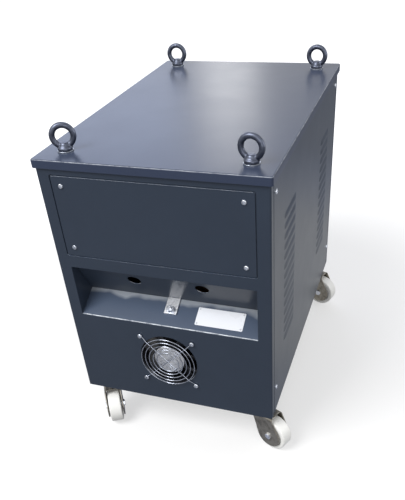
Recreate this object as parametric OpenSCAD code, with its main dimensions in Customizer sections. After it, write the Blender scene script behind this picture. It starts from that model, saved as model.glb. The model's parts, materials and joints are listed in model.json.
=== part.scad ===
// Step-down transformer in a sheet-metal cabinet on four swivel casters.
// Millimetres. +Z is up, the front faces -Y, and the origin lies on the floor
// under the middle of the cabinet.

/* [Cabinet] */
// Width of the cabinet body
body_w = 400; // [380:10:500]
// Depth of the cabinet body, front to rear
body_d = 600; // [560:10:720]
// Height of the cabinet body with its lid
body_h = 500; // [450:10:600]
// Sheet thickness of the front and rear panels
panel_t = 2; // [1.5:0.5:3]
// Inner radius of the bends in the front and rear panels
bend_r = 1.5; // [1:0.5:3]
// Depth of the side returns folded on the front and rear panels
return_d = 16; // [12:1:24]
// Width of the stepped flange that carries a side cover
step_w = 24; // [18:1:30]
// Width of the top flange that carries the lid
top_flange_w = 60; // [56:1:80]
// Sheet thickness of the side covers
cover_t = 1.5; // [1:0.5:2]
// Seam between a side cover and the folded return
seam = 1; // [0.5:0.5:2]
// Sheet thickness of the base tray
tray_t = 3; // [2:0.5:4]
// Height of the base tray's upstands
tray_up = 25; // [15:1:35]

/* [Lid] */
// Sheet thickness of the lid
lid_t = 2; // [1.5:0.5:3]
// Distance that the lid stands out beyond the body
lid_over = 4; // [4:0.5:8]
// Depth of the lid's turned-down rim
lid_rim = 15; // [10:1:25]
// Inner radius of the lid's bends
lid_bend_r = 1; // [0.5:0.1:1]

/* [Louvres] */
// Width of one louvre
louvre_w = 92; // [60:2:110]
// Vertical distance from one louvre to the next
louvre_pitch = 20; // [16:1:30]
// Number of louvres in a column
louvre_rows = 14; // [6:1:15]
// Height of one pressed louvre
louvre_h = 11; // [8:1:13]
// Distance that a louvre stands out of the cover
louvre_out = 3; // [2.5:0.5:6]
// Height of the lowest louvre above the cabinet's underside
louvre_z = 125; // [80:5:140]
// Distance of each column's middle from the cabinet's middle
louvre_y = 164; // [120:2:180]

/* [Access panel] */
// Distance of the access panel from each side of the body
access_side = 25; // [20:1:60]
// Distance of the access panel from the lid's underside
access_top = 26; // [20:1:40]
// Height of the strip between the access panel and the cable recess
strip_h = 26; // [24:1:40]
// Gap around the access panel
access_gap = 2; // [1:0.5:3]
// Width of the ledge that the access panel lies on
ledge_w = 14; // [10:1:20]
// Width of the ledge's lap behind the front panel
ledge_lap = 4; // [3:0.5:6]

/* [Cable recess] */
// Distance of the cable recess from each side of the body
recess_side = 25; // [20:1:60]
// Height of the recess's mouth
recess_h = 105; // [100:1:106]
// Height of the recess's sill above the cabinet's underside
recess_z = 191; // [190:1:194]
// Slope of the recess's floor
recess_tilt = 28; // [26:1:32]
// Length of the recess's floor up its slope
recess_len = 57; // [54:1:60]
// Sheet thickness of the recess
recess_t = 1.5; // [1:0.5:2]
// Height of the flange under the recess's sill
recess_lip = 14; // [10:1:18]
// Height of the gland plate's hem above the recess's mouth
hem_h = 8; // [6:1:10]
// Diameter of a cable hole
cable_d = 26; // [16:1:28]
// Distance between the two cable holes
cable_gap = 132; // [100:2:200]
// Height of the cable holes up the gland plate
cable_s = 53; // [40:1:60]

/* [Earth bar and plate] */
// Width of the earth bar
earth_w = 25; // [15:1:30]
// Thickness of the earth bar
earth_t = 3; // [2:0.5:5]
// Length of the earth bar
earth_len = 34; // [30:1:40]
// Diameter of the earth stud
earth_stud_d = 8; // [6:1:10]
// Width of the rating plate
plate_w = 91; // [60:1:100]
// Height of the rating plate up the slope
plate_h = 36; // [24:1:40]
// Thickness of the rating plate
plate_t = 1; // [0.8:0.1:1.5]
// Distance of the rating plate from the recess's right end
plate_side = 32.5; // [10:0.5:60]
// Distance of the rating plate's middle from the sill
plate_s = 28; // [24:1:34]

/* [Fan] */
// Width and height of the fan's frame
fan_w = 119; // [112:1:122]
// Depth of the fan's frame
fan_t = 38; // [30:1:40]
// Thickness of the fan frame's two flanges
fan_flange_t = 6; // [4:0.5:8]
// Wall of the fan's duct between its flanges
duct_t = 1.5; // [1:0.5:2.5]
// Distance between the fan's fixing holes
fan_pitch = 105; // [100:1:106]
// Diameter of the fan's fixing holes
fan_hole_d = 4.5; // [4:0.1:5]
// Sideways place of the fan's middle
fan_x = -5; // [-20:1:20]
// Height of the fan's middle above the cabinet's underside
fan_z = 106; // [100:1:112]
// Diameter of the fan's air duct
fan_bore = 114; // [100:1:114]
// Diameter of the fan's motor
fan_motor_d = 62; // [50:1:70]
// Thickness of the motor's front plate and of its struts
motor_t = 4; // [3:0.5:6]
// Width of the struts that carry the motor
strut_w = 6; // [4:1:10]
// Diameter of the fan's shaft
shaft_d = 8; // [5:1:10]
// Number of fan blades
fan_blades = 7; // [5:1:9]
// Thickness of a fan blade
blade_t = 2; // [1.5:0.5:3]
// Twist of a fan blade from front to rear
blade_twist = 40; // [20:5:50]
// Gap between the blade tips and the duct
tip_gap = 1.5; // [1:0.5:3]
// Radius of the guard's outer ring
guard_r = 54.5; // [52:0.5:58]
// Distance between the guard's rings
ring_gap = 8; // [6:0.1:8.5]
// Number of guard rings
guard_rings = 5; // [4:1:6]
// Wire diameter of the guard
wire_d = 1.8; // [1.6:0.1:3]
// Distance that the guard's wires stand clear of the panel
guard_out = 3; // [2:0.5:8]

/* [Transformer] */
// Distance of the core's middle behind the cabinet's middle
core_y = 40; // [0:5:60]
// Width of the core's limbs and yokes
limb_w = 60; // [50:2:66]
// Width of a window in the core
window_w = 60; // [54:2:70]
// Height of a window in the core
window_h = 160; // [120:5:180]
// Depth of the stack of laminations
stack_t = 90; // [60:5:110]
// Depth of the wire wound on a limb
coil_t = 26; // [16:1:26]
// Gap between a winding and the yokes
coil_gap = 5; // [3:1:10]
// Radius of a winding's corners
coil_r = 14; // [6:1:18]
// Thickness of the clamp bars
clamp_t = 5; // [3:0.5:8]
// Height of the clamp bars
clamp_h = 40; // [30:2:56]
// Width of the feet on the lower clamp bars
clamp_foot = 45; // [30:1:60]

/* [Eyebolts] */
// Inside diameter of an eyebolt's ring
eye_d = 25; // [20:1:30]
// Thickness of an eyebolt's ring
eye_t = 10; // [8:0.5:11]
// Diameter of an eyebolt's collar
eye_collar_d = 25; // [20:1:30]
// Height of an eyebolt's collar
eye_collar_h = 6; // [4:0.5:8]
// Radius of the hollow between collar and ring
eye_fillet = 4; // [3:0.5:5]
// Diameter of the washer under an eyebolt
washer_d = 27; // [26:1:32]
// Thickness of the washer under an eyebolt
washer_t = 2; // [1:0.5:3]
// Diameter of an eyebolt's shank
eye_shank_d = 10; // [8:1:12]
// Height of the nut on an eyebolt's shank
eye_nut_h = 8; // [6:0.5:10]
// Distance of the eyebolts from the body's sides and ends
eye_inset = 40; // [34:1:44]

/* [Casters] */
// Overall height of a caster
caster_h = 98; // [98:1:120]
// Diameter of a caster wheel
wheel_d = 72; // [60:1:72]
// Width of a caster wheel
wheel_w = 26; // [22:1:32]
// Diameter of a wheel's hub
hub_d = 27; // [22:1:34]
// Depth of the hollow in a wheel's side
dish = 4.5; // [2:0.5:8]
// Thickness of a wheel's tread
tread_t = 9; // [6:0.5:12]
// Radius of a tread's edges
tread_r = 3; // [1:0.5:4]
// Diameter of a wheel's axle
axle_d = 8; // [6:1:10]
// Distance from the swivel's axis to the wheel's axle
trail = 28; // [20:1:32]
// Sheet thickness of a fork
fork_t = 2; // [1.5:0.5:4]
// Outer radius of a fork's bends
fork_bend_r = 5; // [4.5:0.5:8]
// Gap between a wheel's hub and a fork's leg
fork_gap = 0.5; // [0.5:0.5:2]
// Reach of a fork's crown behind the swivel's axis
crown_back = 14; // [12:1:26]
// Reach of a fork's crown ahead of the swivel's axis
crown_front = 34; // [28:1:42]
// Radius of a fork's leg round the axle
leg_r = 26; // [16:1:30]
// Diameter of the bearing on top of a fork
race_d = 46; // [40:1:50]
// Height of a fork's half of the bearing
saucer_h = 6; // [4:0.5:10]
// Height of a plate's half of the bearing
race_h = 6; // [4:0.5:8]
// Diameter of the kingpin
pin_d = 10; // [8:1:12]
// Width of a caster's square plate
mount_w = 58; // [54:1:60]
// Thickness of a caster's square plate
mount_t = 3; // [2:0.5:5]
// Diameter of the bolt holes in a caster's plate
mount_hole_d = 8.5; // [6:0.5:9]
// Distance of a caster's swivel axis from the body's side
caster_in_x = 30; // [30:1:60]
// Distance of a caster's swivel axis from the body's end
caster_in_y = 38; // [32:1:70]

/* [Hidden] */
$fn = 48;

// The four corners, in the order front left, front right, rear left, rear right
CORNERS = [[-1, -1], [1, -1], [-1, 1], [1, 1]];
NAMES = ["front_left", "front_right", "rear_left", "rear_right"];
// Direction in which each caster's wheel trails, and in which each eyebolt's ring faces
CASTER_YAW = [-60, -24, 137, -17];
EYE_YAW = [25, -8, 5, -4];

slip = 0.05;                        // radial clearance of a running fit
seat = 0.3;                         // gap left between pieces that turn on each other
steel = [0.21, 0.24, 0.29];         // slate-blue paint
zinc = [0.72, 0.74, 0.77];

// Heights
z_base = caster_h;
z_top = z_base + body_h;
z_under = z_top - lid_t;
panel_h = z_under - z_base;

// Cabinet
y_front = -body_d / 2;
y_back = y_front + panel_t;         // rear face of the front panel
step_x = body_w / 2 - cover_t;      // outer face of the stepped flange
step_y = body_d / 2 - return_d - step_w;
access_w = body_w - 2 * access_side;
access_low = recess_z + recess_h + strip_h;
access_h = panel_h - access_top - access_low;
access_z = access_low + access_h / 2;

// Recess, measured back from the front panel's rear face and up from the sill
recess_w = body_w - 2 * recess_side;
reach = recess_len * cos(recess_tilt);
rise = recess_len * sin(recess_tilt);
hem_z = recess_h + strip_h / 3;     // foot of the gland plate's hem
gland_lean = atan(reach / (hem_z + hem_h - rise));

// Fan, measured back from the frame's front
motor_z = 1;
shaft_z = fan_t - 8;                // rear end of the shaft
rotor_z = motor_z + motor_t + seat;

// Core
core_w = 3 * limb_w + 2 * window_w;
core_h = window_h + 2 * limb_w;

// Eyebolts and casters
eye_x = body_w / 2 - eye_inset;
eye_y = body_d / 2 - eye_inset;
caster_x = body_w / 2 - caster_in_x;
caster_y = body_d / 2 - caster_in_y;
crown_z = z_base - mount_t - race_h - seat - saucer_h;      // top of the fork's sheet
fork_y = wheel_w / 2 + fork_gap;                            // inner face of a fork's leg
fork_side_y = fork_y + fork_t;                              // outer face of a fork's leg
pin_head_t = 3;                                             // height of the kingpin's head

// ---- helpers ----

module each_side() {
    for (m = [0, 1]) mirror([m, 0, 0]) children();
}

// Four copies, one in each quarter
module each_quarter(x, y) {
    for (s = [-1, 1], t = [-1, 1]) translate([s * x, t * y]) children();
}

// A rectangle with rounded corners
module rounded(w, h, r) {
    square([w - 2 * r, h], center = true);
    square([w, h - 2 * r], center = true);
    each_quarter(w / 2 - r, h / 2 - r) circle(r = r);
}

// A rectangle that stands on the X axis, with rounded upper corners
module arch(w, h, r) {
    translate([-w / 2, 0]) square([w, h - r]);
    translate([-w / 2 + r, 0]) square([w - 2 * r, h]);
    for (s = [-1, 1]) translate([s * (w / 2 - r), h - r]) circle(r = r);
}

// Draws a flat shape upright: its X runs rearward, its Y up, and it has the width w
module across(w) {
    rotate([90, 0, 90]) linear_extrude(w, center = true) children();
}

// A tube around the Z axis
module ring(r_out, r_in, h) {
    difference() {
        cylinder(r = r_out, h = h);
        translate([0, 0, -1]) cylinder(r = r_in, h = h + 2);
    }
}

// Puts a flat shape that is drawn in X and Y upright, facing the front
module on_front(x, z) {
    translate([x, y_front, z_base + z]) rotate([90, 0, 0]) children();
}

// Point where a line from p touches a circle round c, on its left (side 1) or right (side -1)
function touch(p, c, r, side) =
    let (v = p - c, a = atan2(v[1], v[0]) + side * acos(r / norm(v)))
    c + r * [cos(a), sin(a)];

// ---- front and rear panels ----

// The folded end panel in plan: its face, bent returns and stepped flanges
module end_plan() {
    outer_r = bend_r + panel_t;
    translate([0, y_front + panel_t / 2]) square([body_w - 2 * outer_r, panel_t], center = true);
    each_side() {
        translate([body_w / 2 - outer_r, y_front + outer_r]) intersection() {
            difference() {
                circle(r = outer_r);
                circle(r = bend_r);
            }
            translate([0, -outer_r]) square(outer_r);
        }
        translate([body_w / 2 - panel_t, y_front + outer_r]) square([panel_t, return_d - outer_r]);
        translate([step_x - panel_t, y_front + return_d - panel_t]) {
            square([panel_t + cover_t, panel_t]);
            square([panel_t, panel_t + step_w]);
        }
    }
}

// A folded end panel with the flange that carries the lid, at the front
module end_shell() {
    translate([0, 0, z_base]) linear_extrude(panel_h) end_plan();
    difference() {
        translate([-step_x + panel_t / 2, y_front + panel_t / 2, z_under - panel_t])
            cube([2 * step_x - panel_t, top_flange_w, panel_t]);
        for (s = [-1, 1]) translate([s * eye_x, -eye_y, z_under - panel_t - 1])
            cylinder(d = eye_shank_d + 1, h = panel_t + 2);
    }
}

// The mouth of the recess. Its lower edge is bent back, so it is rounded at the front.
module mouth() {
    translate([0, y_front, z_base + recess_z]) across(recess_w) {
        translate([-1, 0]) square([panel_t + 2, recess_h]);
        difference() {
            translate([-1, -panel_t]) square([panel_t + 1, panel_t + 1]);
            translate([panel_t, -panel_t]) circle(r = panel_t);
        }
    }
}

module front_panel() {
    hole_w = access_w + 2 * access_gap;
    hole_h = access_h + 2 * access_gap;
    color(steel) {
        difference() {
            end_shell();
            mouth();
            on_front(0, access_z) translate([0, 0, -panel_t - 1])
                linear_extrude(panel_t + 2) rounded(hole_w, hole_h, 4);
            on_front(fan_x, fan_z) translate([0, 0, -panel_t - 1]) linear_extrude(panel_t + 2) {
                circle(r = fan_bore / 2 + duct_t);
                each_quarter(fan_pitch / 2, fan_pitch / 2) circle(d = fan_hole_d);
            }
        }
        on_front(0, access_z) translate([0, 0, -2 * panel_t]) linear_extrude(panel_t) difference() {
            square([hole_w + 2 * ledge_lap, hole_h + 2 * ledge_lap], center = true);
            square([access_w - 2 * ledge_w, access_h - 2 * ledge_w], center = true);
        }
    }
}

module rear_panel() {
    color(steel) rotate([0, 0, 180]) end_shell();
}

module access_panel() {
    color(steel) on_front(0, access_z) translate([0, 0, -panel_t])
        linear_extrude(panel_t) rounded(access_w, access_h, 3);
}

// ---- base, lid and side covers ----

module base_tray() {
    in_x = step_x - panel_t;
    in_y = body_d / 2 - panel_t;
    color(steel) translate([0, 0, z_base]) {
        linear_extrude(tray_t) rounded(2 * in_x, 2 * in_y, bend_r);
        translate([-step_x, -step_y, 0]) cube([2 * step_x, 2 * step_y, tray_t]);
        for (a = [0, 180]) rotate([0, 0, a]) {
            translate([-in_x + bend_r, -in_y, 0]) cube([2 * (in_x - bend_r), tray_t, tray_up]);
            translate([step_x - tray_t, -step_y, 0]) cube([tray_t, 2 * step_y, tray_up]);
        }
    }
}

// A block whose top is bent down on all four sides
module folded_block(w, d, h, r) {
    intersection() {
        rotate([90, 0, 0]) linear_extrude(d, center = true) arch(w, h, r);
        across(w) arch(d, h, r);
    }
}

module lid() {
    w = body_w + 2 * lid_over;
    d = body_d + 2 * lid_over;
    color(steel) translate([0, 0, z_top - lid_rim]) difference() {
        folded_block(w, d, lid_rim, lid_bend_r + lid_t);
        translate([0, 0, -1])
            folded_block(w - 2 * lid_t, d - 2 * lid_t, lid_rim - lid_t + 1, lid_bend_r);
        for (c = CORNERS) translate([c[0] * eye_x, c[1] * eye_y, 0])
            cylinder(d = eye_shank_d + 1, h = lid_rim + 1);
    }
}

// One pressed louvre on a sheet whose outer face is the X = 0 plane, open at its foot
module louvre() {
    bow = (pow(louvre_h, 2) + pow(louvre_out, 2)) / (2 * louvre_out);
    translate([0, -louvre_w / 2, 0]) mirror([0, 1, -1]) {
        linear_extrude(louvre_w) intersection() {
            translate([louvre_out - bow, 0]) difference() {
                circle(r = bow);
                circle(r = bow - cover_t);
            }
            translate([-cover_t, 0]) square([louvre_out + cover_t, louvre_h]);
        }
        for (y = [0, louvre_w - cover_t]) translate([0, 0, y]) linear_extrude(cover_t)
            intersection() {
                translate([louvre_out - bow, 0]) circle(r = bow);
                translate([-cover_t, 0]) square([louvre_out + cover_t, louvre_h]);
            }
    }
}

module cover() {
    len = body_d - 2 * (return_d + seam);
    translate([body_w / 2, 0, z_base]) {
        difference() {
            translate([-cover_t, -len / 2, 0]) cube([cover_t, len, panel_h]);
            for (s = [-1, 1], i = [0 : louvre_rows - 1])
                translate([-cover_t - 1, s * louvre_y - louvre_w / 2, louvre_z + i * louvre_pitch])
                    cube([cover_t + 2, louvre_w, louvre_h]);
        }
        for (s = [-1, 1], i = [0 : louvre_rows - 1])
            translate([0, s * louvre_y, louvre_z + i * louvre_pitch]) louvre();
    }
}

module right_cover() {
    color(steel) cover();
}

module left_cover() {
    color(steel) mirror([1, 0, 0]) cover();
}

// ---- cable recess ----

// The recess's frame: X along the sill, Y up the sloping floor, Z square to the floor
module in_recess() {
    translate([0, y_back, z_base + recess_z]) rotate([recess_tilt, 0, 0]) children();
}

// The gland plate's frame: Z runs up the plate and Y squarely through it
module in_gland() {
    translate([0, y_back + reach, z_base + recess_z + rise]) rotate([gland_lean, 0, 0]) children();
}

module recess_tray() {
    brow = reach - (recess_h - rise) * tan(gland_lean);
    color(steel) translate([0, y_back, z_base + recess_z]) {
        across(recess_w + 2 * recess_t) difference() {
            rotate(recess_tilt) translate([-recess_lip, -recess_t])
                square([recess_lip + recess_len + recess_t, recess_t]);
            translate([-2 * recess_lip, -recess_lip]) square([2 * recess_lip, 2 * recess_lip]);
        }
        across(recess_w) translate([0, -recess_lip]) square([recess_t, recess_lip]);
        each_side() translate([(recess_w + recess_t) / 2, 0, 0]) across(recess_t)
            polygon([[0, -recess_t], [0, recess_h], [brow, recess_h],
                [reach, rise], [reach, rise - recess_t]]);
    }
}

module gland_plate() {
    top = hem_z + hem_h;
    band = recess_t / cos(gland_lean);
    foot = (band + top * tan(gland_lean)) / (1 + tan(recess_tilt) * tan(gland_lean));
    color(steel) difference() {
        translate([0, y_back, z_base + recess_z]) {
            across(recess_w + 2 * recess_t)
                polygon([[0, top], [reach, rise], [foot, foot * tan(recess_tilt)], [band, top]]);
            across(recess_w) translate([0, hem_z]) square([recess_t, hem_h]);
        }
        in_gland() for (s = [-1, 1]) translate([s * cable_gap / 2, -1, cable_s])
            rotate([-90, 0, 0]) cylinder(d = cable_d, h = recess_t + 2);
    }
}

module earth_bar() {
    color(zinc) in_recess() translate([-earth_w / 2, recess_len - earth_len, 0])
        cube([earth_w, earth_len, earth_t]);
}

// Washer, nut and stud end, which stand on the earth bar
module earth_nut() {
    color(zinc) in_recess() translate([0, recess_len - earth_len + earth_stud_d, earth_t]) {
        cylinder(d = 2 * earth_stud_d, h = earth_stud_d * 0.2);
        cylinder(d = 1.8 * earth_stud_d, h = earth_stud_d, $fn = 6);
        cylinder(d = earth_stud_d, h = 1.3 * earth_stud_d);
    }
}

module rating_plate() {
    color("white") in_recess() translate([(recess_w - plate_w) / 2 - plate_side, plate_s, 0])
        linear_extrude(plate_t) rounded(plate_w, plate_h, 2);
}

// ---- fan ----

// The fan's frame: Z runs rearward from the front panel's inner face
module in_fan() {
    translate([fan_x, y_back, z_base + fan_z]) rotate([-90, 0, 0]) children();
}

module fan_frame() {
    color(zinc) in_fan() {
        for (z = [0, fan_t - fan_flange_t]) translate([0, 0, z])
            linear_extrude(fan_flange_t) difference() {
                rounded(fan_w, fan_w, 6);
                circle(d = fan_bore);
                each_quarter(fan_pitch / 2, fan_pitch / 2) circle(d = fan_hole_d);
            }
        translate([0, 0, fan_flange_t])
            ring(fan_bore / 2 + duct_t, fan_bore / 2, fan_t - 2 * fan_flange_t);
        for (a = [20, 140, 260]) rotate([0, 0, a])
            translate([fan_motor_d / 2 - duct_t, -strut_w / 2, motor_z])
                cube([(fan_bore - fan_motor_d) / 2 + 2 * duct_t, strut_w, motor_t]);
        translate([0, 0, motor_z]) cylinder(d = fan_motor_d, h = motor_t);
        translate([0, 0, motor_z]) cylinder(d = shaft_d, h = shaft_z - motor_z);
    }
}

module fan_rotor() {
    hub_r = fan_motor_d / 2 - 1;
    hub_h = fan_t - rotor_z - 3;
    tip_r = fan_bore / 2 - tip_gap;
    color([0.1, 0.1, 0.11]) in_fan() translate([0, 0, rotor_z]) difference() {
        union() {
            cylinder(r = hub_r, h = hub_h);
            for (i = [0 : fan_blades - 1]) rotate([0, 0, i * 360 / fan_blades]) translate([0, 0, 3])
                linear_extrude(hub_h - 6, twist = blade_twist, slices = 5, $fn = 4)
                    translate([hub_r - 2, -blade_t / 2]) square([tip_r - hub_r + 2, blade_t]);
        }
        translate([0, 0, -1]) cylinder(r = shaft_d / 2 + slip, h = shaft_z - rotor_z + seat + 1);
    }
}

module wire(a, b) {
    v = b - a;
    translate(a) rotate([0, acos(v[2] / norm(v)), atan2(v[1], v[0])])
        cylinder(d = wire_d, h = norm(v), $fn = 8);
}

// Rings on two crossed wires, whose ends are bent down to eyes under the fan's screws
module fan_guard() {
    hole_r = fan_pitch / sqrt(2);
    low = wire_d / 2;
    high = guard_out + wire_d / 2;
    eye_r = fan_hole_d / 2 + wire_d;
    color(zinc) on_front(fan_x, fan_z) {
        for (i = [0 : guard_rings - 1]) translate([0, 0, high + wire_d * 0.7])
            rotate_extrude($fn = 72) translate([guard_r - i * ring_gap, 0]) circle(d = wire_d, $fn = 8);
        for (a = [45, 135]) rotate([0, 0, a]) wire([-guard_r - 2, 0, high], [guard_r + 2, 0, high]);
        for (a = [45 : 90 : 315]) rotate([0, 0, a]) {
            wire([guard_r + 1, 0, high], [hole_r - eye_r + low, 0, low]);
            translate([hole_r, 0, 0]) ring(eye_r, eye_r - wire_d, wire_d);
        }
    }
}

// ---- core and windings ----

// The core's frame stands on the base tray. It is clamped at both sides.
module at_core() {
    translate([0, core_y, z_base + tray_t]) children();
}

module core() {
    color([0.35, 0.35, 0.37]) at_core() across(stack_t) difference() {
        translate([-core_w / 2, 0]) square([core_w, core_h]);
        for (s = [-1, 1]) translate([(s * (limb_w + window_w) - window_w) / 2, limb_w])
            square([window_w, window_h]);
    }
}

module windings() {
    color([0.62, 0.38, 0.2]) at_core() for (s = [-1, 0, 1])
        translate([0, s * (limb_w + window_w), limb_w + coil_gap])
            linear_extrude(window_h - 2 * coil_gap) difference() {
                rounded(stack_t + 2 * coil_t, limb_w + 2 * coil_t, coil_r);
                square([stack_t + 2 * seat, limb_w + 2 * seat], center = true);
            }
}

module core_clamps() {
    color([0.5, 0.5, 0.52]) at_core() each_side() translate([stack_t / 2, -core_w / 2, 0]) {
        cube([clamp_t, core_w, clamp_h]);
        cube([clamp_foot, core_w, clamp_t]);
        translate([0, 0, core_h - clamp_h]) cube([clamp_t, core_w, clamp_h]);
    }
}

// ---- eyebolts ----

module eyebolt(i) {
    c = CORNERS[i];
    ring_r = (eye_d + eye_t) / 2;
    neck_r = eye_t * 0.75;
    sheets = lid_t + panel_t + washer_t;
    color([0.16, 0.17, 0.19]) translate([c[0] * eye_x, c[1] * eye_y, z_top + washer_t]) {
        rotate_extrude() {
            square([eye_collar_d / 2, eye_collar_h]);
            difference() {
                square([neck_r + eye_fillet, eye_collar_h + eye_fillet]);
                translate([neck_r + eye_fillet, eye_collar_h + eye_fillet]) circle(r = eye_fillet);
            }
        }
        rotate([0, 0, EYE_YAW[i]]) translate([0, 0, ring_r + eye_t / 2 + 1]) rotate([90, 0, 0])
            rotate_extrude() translate([ring_r, 0]) circle(d = eye_t, $fn = 32);
        translate([0, 0, -sheets - eye_nut_h]) {
            cylinder(d = eye_shank_d * 1.9, h = eye_nut_h, $fn = 6);
            translate([0, 0, -eye_shank_d * 0.4])
                cylinder(d = eye_shank_d, h = sheets + eye_nut_h + eye_shank_d * 0.4 + 1);
        }
    }
}

module washer(i) {
    c = CORNERS[i];
    color(zinc) translate([c[0] * eye_x, c[1] * eye_y, z_top])
        ring(washer_d / 2, (eye_shank_d + 1) / 2, washer_t);
}

// ---- casters ----

module at_caster(i) {
    c = CORNERS[i];
    translate([c[0] * caster_x, c[1] * caster_y, 0]) children();
}

// The fork's frame: X runs from the swivel's axis towards the axle
module in_fork(i) {
    at_caster(i) rotate([0, 0, CASTER_YAW[i]]) children();
}

// Square plate with the upper half of the bearing and the kingpin
module caster_plate(i) {
    edge = race_h * 0.6;
    color(zinc) at_caster(i) {
        translate([0, 0, z_base - mount_t]) linear_extrude(mount_t) difference() {
            rounded(mount_w, mount_w, 5);
            each_quarter(mount_w / 2 - mount_hole_d, mount_w / 2 - mount_hole_d) circle(d = mount_hole_d);
        }
        translate([0, 0, z_base - mount_t - race_h]) rotate_extrude() {
            square([race_d / 2 - edge, race_h]);
            translate([0, edge]) square([race_d / 2, race_h - edge]);
            translate([race_d / 2 - edge, edge]) circle(r = edge);
        }
        translate([0, 0, crown_z - fork_t - seat - pin_head_t]) {
            cylinder(d = pin_d, h = pin_head_t + fork_t + saucer_h + 2 * seat + 1);
            cylinder(d1 = pin_d * 1.5, d2 = pin_d * 1.8, h = pin_head_t);
        }
    }
}

// The fork from its side: a crown over two broad legs that end round the axle
module fork_outline() {
    axle = [trail, wheel_d / 2];
    rear = [-crown_back, crown_z];
    front = [crown_front, crown_z];
    polygon([rear, touch(rear, axle, leg_r, 1), axle, touch(front, axle, leg_r, -1), front]);
    translate(axle) circle(r = leg_r);
}

// The fork along its trail: one sheet bent down at both sides
module fork_section() {
    difference() {
        arch(2 * fork_side_y, crown_z, fork_bend_r);
        translate([0, -1]) arch(2 * fork_y, crown_z - fork_t + 1, fork_bend_r - fork_t);
    }
}

module fork(i) {
    color(zinc) in_fork(i) {
        difference() {
            union() {
                intersection() {
                    rotate([90, 0, 0]) linear_extrude(2 * fork_side_y, center = true) fork_outline();
                    translate([-crown_back, 0, 0]) rotate([90, 0, 90])
                        linear_extrude(crown_back + trail + leg_r) fork_section();
                }
                translate([0, 0, crown_z]) {
                    cylinder(d = race_d - saucer_h, h = fork_t, center = true);
                    cylinder(d1 = race_d - saucer_h, d2 = race_d, h = saucer_h / 2);
                    translate([0, 0, saucer_h / 2]) cylinder(d = race_d, h = saucer_h / 2);
                }
            }
            translate([0, 0, crown_z - fork_t - 1])
                cylinder(r = pin_d / 2 + slip, h = fork_t + saucer_h + 2);
        }
        translate([trail, 0, wheel_d / 2]) rotate([90, 0, 0]) {
            cylinder(d = axle_d, h = 2 * fork_y + 2, center = true);
            for (s = [-1, 1]) translate([0, 0, s * (fork_side_y + axle_d * 0.3)])
                cylinder(d = axle_d * 1.9, h = axle_d * 0.7, center = true, $fn = 6);
        }
    }
}

module wheel(i) {
    r = wheel_d / 2;
    bore_r = axle_d / 2 + slip;
    color("white") in_fork(i) translate([trail, 0, r]) rotate([90, 0, 0]) rotate_extrude() {
        translate([bore_r, -wheel_w / 2]) square([hub_d / 2 - bore_r, wheel_w]);
        translate([bore_r, -wheel_w / 2 + dish]) square([r - tread_t / 2 - bore_r, wheel_w - 2 * dish]);
        translate([r - tread_t / 2, 0]) rounded(tread_t, wheel_w, tread_r);
    }
}

base_tray();
front_panel();
rear_panel();
left_cover();
right_cover();
lid();
access_panel();
recess_tray();
gland_plate();
earth_bar();
earth_nut();
rating_plate();
fan_frame();
fan_rotor();
fan_guard();
core();
windings();
core_clamps();
for (i = [0 : 3]) {
    eyebolt(i);
    washer(i);
    caster_plate(i);
    fork(i);
    wheel(i);
}
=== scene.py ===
import json
import math

import bmesh
import bpy
from mathutils import Matrix, Vector
from mathutils.geometry import delaunay_2d_cdt


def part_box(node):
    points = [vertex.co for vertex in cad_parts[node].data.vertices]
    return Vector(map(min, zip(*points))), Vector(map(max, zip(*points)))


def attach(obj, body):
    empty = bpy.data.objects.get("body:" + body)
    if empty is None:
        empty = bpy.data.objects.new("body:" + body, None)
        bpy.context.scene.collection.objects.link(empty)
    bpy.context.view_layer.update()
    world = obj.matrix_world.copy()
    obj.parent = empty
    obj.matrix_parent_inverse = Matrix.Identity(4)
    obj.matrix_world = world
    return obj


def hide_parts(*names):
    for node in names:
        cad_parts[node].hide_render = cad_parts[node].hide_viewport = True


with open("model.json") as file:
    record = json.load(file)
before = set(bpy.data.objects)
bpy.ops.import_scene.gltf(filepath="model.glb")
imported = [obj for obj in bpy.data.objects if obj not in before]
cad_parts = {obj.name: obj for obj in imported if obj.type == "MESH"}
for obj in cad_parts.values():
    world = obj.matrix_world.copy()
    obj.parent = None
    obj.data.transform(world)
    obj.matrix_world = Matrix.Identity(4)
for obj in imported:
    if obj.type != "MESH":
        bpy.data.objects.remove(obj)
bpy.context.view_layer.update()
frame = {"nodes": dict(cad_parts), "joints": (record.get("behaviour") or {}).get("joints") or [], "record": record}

# A step-down transformer in a wheeled sheet-metal cabinet. Metres, +Z up, the front faces -Y.

MM = 0.001
JOINTS = {joint["name"]: joint for joint in frame["joints"]}
CORNERS = ("front_left", "front_right", "rear_left", "rear_right")

FRONT_LOW, FRONT_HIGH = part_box("front_panel")
LID_LOW, LID_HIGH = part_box("lid")
COVER_LOW, COVER_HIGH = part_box("right_cover")
ACCESS_LOW, ACCESS_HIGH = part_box("access_panel")
GUARD_LOW, GUARD_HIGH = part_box("fan_guard")

FRONT_Y = FRONT_LOW.y
HALF_W = FRONT_HIGH.x
BODY_Z = FRONT_LOW.z
PANEL_TOP = FRONT_HIGH.z
SHEET_T = 2 * MM
COVER_T = 1.5 * MM

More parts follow.
